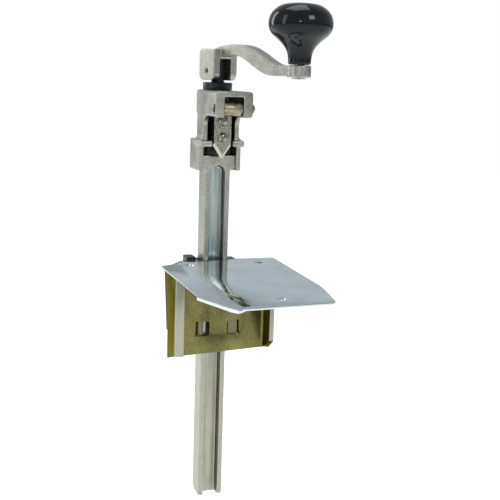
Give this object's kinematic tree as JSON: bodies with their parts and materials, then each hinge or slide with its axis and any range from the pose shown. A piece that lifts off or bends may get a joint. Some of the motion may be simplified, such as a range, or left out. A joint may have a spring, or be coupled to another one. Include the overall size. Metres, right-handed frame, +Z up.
{
  "type": "manual can opener",
  "caption": "Table-mounted manual can opener: a grooved bar that slides in a sheet-metal base, with a pivoting knife, drive gear, crank arm and round knob.",
  "frame": {"origin": "on the underside of the base plate, in line with the bar, over the edge of the table that the base is screwed to", "axes": "+Z up along the bar, -Y towards the operator's side where the can goes, +X to the right seen from the front"},
  "size_m": [0.1207, 0.2217, 0.4903],
  "materials": {
    "nickel_casting": "satin nickel plate over a sand-cast body",
    "stainless_sheet": "polished sheet with a fine grain",
    "plated_sheet": "bright plated sheet",
    "black_oxide": "black oxide over steel, smooth",
    "tool_steel": "ground and lightly oiled",
    "bronze": "sintered, matt",
    "phenolic": "high gloss black",
    "black_nylon": "moulded, satin",
    "light_nylon": "moulded, matt",
    "spring_steel": "bright drawn"
  },
  "bodies": {
    "base": {"base_plate": "stainless_sheet", "base_bracket": "plated_sheet", "rear_guide": "black_nylon", "saddle_strap": "stainless_sheet", "friction_spring": "spring_steel", "left_guide_pad": "light_nylon", "right_guide_pad": "light_nylon"},
    "head": {"opener_casting": "nickel_casting", "upper_bush": "bronze", "lower_bush": "bronze", "holder_pin": "bronze"},
    "arbor": {"arbor": "black_oxide", "drive_gear": "tool_steel", "gear_washer": "spring_steel", "gear_screw": "spring_steel", "crank_arm": "nickel_casting", "crank_pin": "spring_steel", "knob_stud": "spring_steel", "knob_ring": "spring_steel"},
    "knob": {"knob": "phenolic"},
    "knife_holder": {"knife_holder": "bronze", "knife": "tool_steel", "knife_screw_upper": "tool_steel", "knife_screw_lower": "tool_steel", "holder_spring": "spring_steel"}
  },
  "joints": [
    {"name": "bar_slide", "type": "slide", "parent": "base", "child": "head", "axis": [0, 0, 1], "range_m": [-0.085, 0.15]},
    {"name": "arbor_spin", "type": "hinge", "parent": "head", "child": "arbor", "pos_m": [0, 0.044, 0.18], "axis": [0, 0, 1], "continuous": true},
    {"name": "knob_spin", "type": "hinge", "parent": "arbor", "child": "knob", "pos_m": [0.03567, -0.07267, 0.21], "axis": [0, 0, 1], "continuous": true},
    {"name": "knife_swing", "type": "hinge", "parent": "head", "child": "knife_holder", "pos_m": [0, -0.003, 0.1516], "axis": [-1, 0, 0], "range_deg": [0, 40], "stiffness_Nm_per_rad": 0.12, "springref_deg": -22.92}
  ]
}
